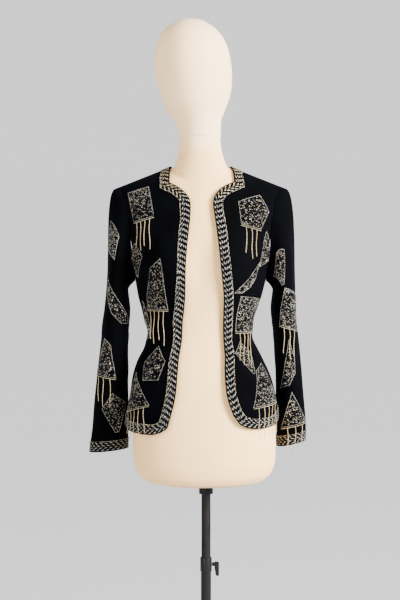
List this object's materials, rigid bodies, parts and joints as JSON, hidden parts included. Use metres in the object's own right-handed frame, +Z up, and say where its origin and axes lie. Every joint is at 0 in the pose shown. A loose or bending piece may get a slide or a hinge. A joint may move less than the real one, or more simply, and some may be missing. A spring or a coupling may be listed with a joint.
{
  "type": "beaded velvet jacket on a dress form",
  "caption": "Collarless open-front velvet jacket with long sleeves, beaded bands, patches and fringe, worn by a padded limbless dress form on an adjustable pole with a round base.",
  "frame": {"origin": "middle of the underside of the round base plate, which stands on the floor", "axes": "+Z up along the pole, +X to the wearer's left, and the front faces -Y"},
  "size_m": [0.5331, 0.32, 1.75],
  "materials": {
    "velvet": "deep black pile",
    "silver_beads": "silver, champagne and black glass beads sewn close together",
    "gold_beads": "pale gold glass bead strands",
    "jersey": "cream jersey over firm padding",
    "worn_steel": "worn grey-brown",
    "black_steel": "satin black",
    "black_iron": "satin black"
  },
  "bodies": {
    "stand": {"base_plate": "black_iron", "pole_tube": "black_steel", "pole_clamp": "black_steel"},
    "clamp": {"clamp_lever": "black_steel"},
    "column": {"pole_upper": "worn_steel"},
    "form": {"form_flange": "black_steel", "form_torso": "jersey", "form_head": "jersey", "back": "velvet", "front_left": "velvet", "front_right": "velvet", "sleeve_left": "velvet", "sleeve_right": "velvet", "trim_front_left": "silver_beads", "trim_front_right": "silver_beads", "trim_hem_back": "silver_beads", "trim_neck_back": "silver_beads", "cuff_left": "silver_beads", "cuff_right": "silver_beads", "patch_back_1": "silver_beads", "patch_back_2": "silver_beads", "patch_back_3": "silver_beads", "patch_back_4": "silver_beads", "patch_back_5": "silver_beads", "patch_back_6": "silver_beads", "patch_front_left_1": "silver_beads", "patch_front_left_2": "silver_beads", "patch_front_left_3": "silver_beads", "patch_front_left_4": "silver_beads", "patch_front_left_5": "silver_beads", "patch_front_left_6": "silver_beads", "patch_front_right_1": "silver_beads", "patch_front_right_2": "silver_beads", "patch_front_right_3": "silver_beads", "patch_front_right_4": "silver_beads", "patch_front_right_5": "silver_beads", "patch_front_right_6": "silver_beads", "patch_sleeve_left_1": "silver_beads", "patch_sleeve_left_2": "silver_beads", "patch_sleeve_left_3": "silver_beads", "patch_sleeve_left_4": "silver_beads", "patch_sleeve_left_5": "silver_beads", "patch_sleeve_right_1": "silver_beads", "patch_sleeve_right_2": "silver_beads", "patch_sleeve_right_3": "silver_beads", "patch_sleeve_right_4": "silver_beads", "patch_sleeve_right_5": "silver_beads", "fringe_back_1": "gold_beads", "fringe_back_3": "gold_beads", "fringe_back_5": "gold_beads", "fringe_front_left_1": "gold_beads", "fringe_front_left_4": "gold_beads", "fringe_front_left_6": "gold_beads", "fringe_front_right_1": "gold_beads", "fringe_front_right_3": "gold_beads", "fringe_front_right_6": "gold_beads", "fringe_sleeve_left_2": "gold_beads", "fringe_sleeve_left_4": "gold_beads", "fringe_sleeve_right_3": "gold_beads"}
  },
  "joints": [
    {"name": "clamp_turn", "type": "hinge", "parent": "stand", "child": "clamp", "pos_m": [0.0143, 0, 0.449], "axis": [1, 0, 0], "range_deg": [-150, 150]},
    {"name": "height_slide", "type": "slide", "parent": "stand", "child": "column", "axis": [0, 0, 1], "range_m": [-0.145, 0.2]},
    {"name": "form_swivel", "type": "hinge", "parent": "column", "child": "form", "pos_m": [0, 0, 0.64], "axis": [0, 0, 1], "continuous": true}
  ]
}
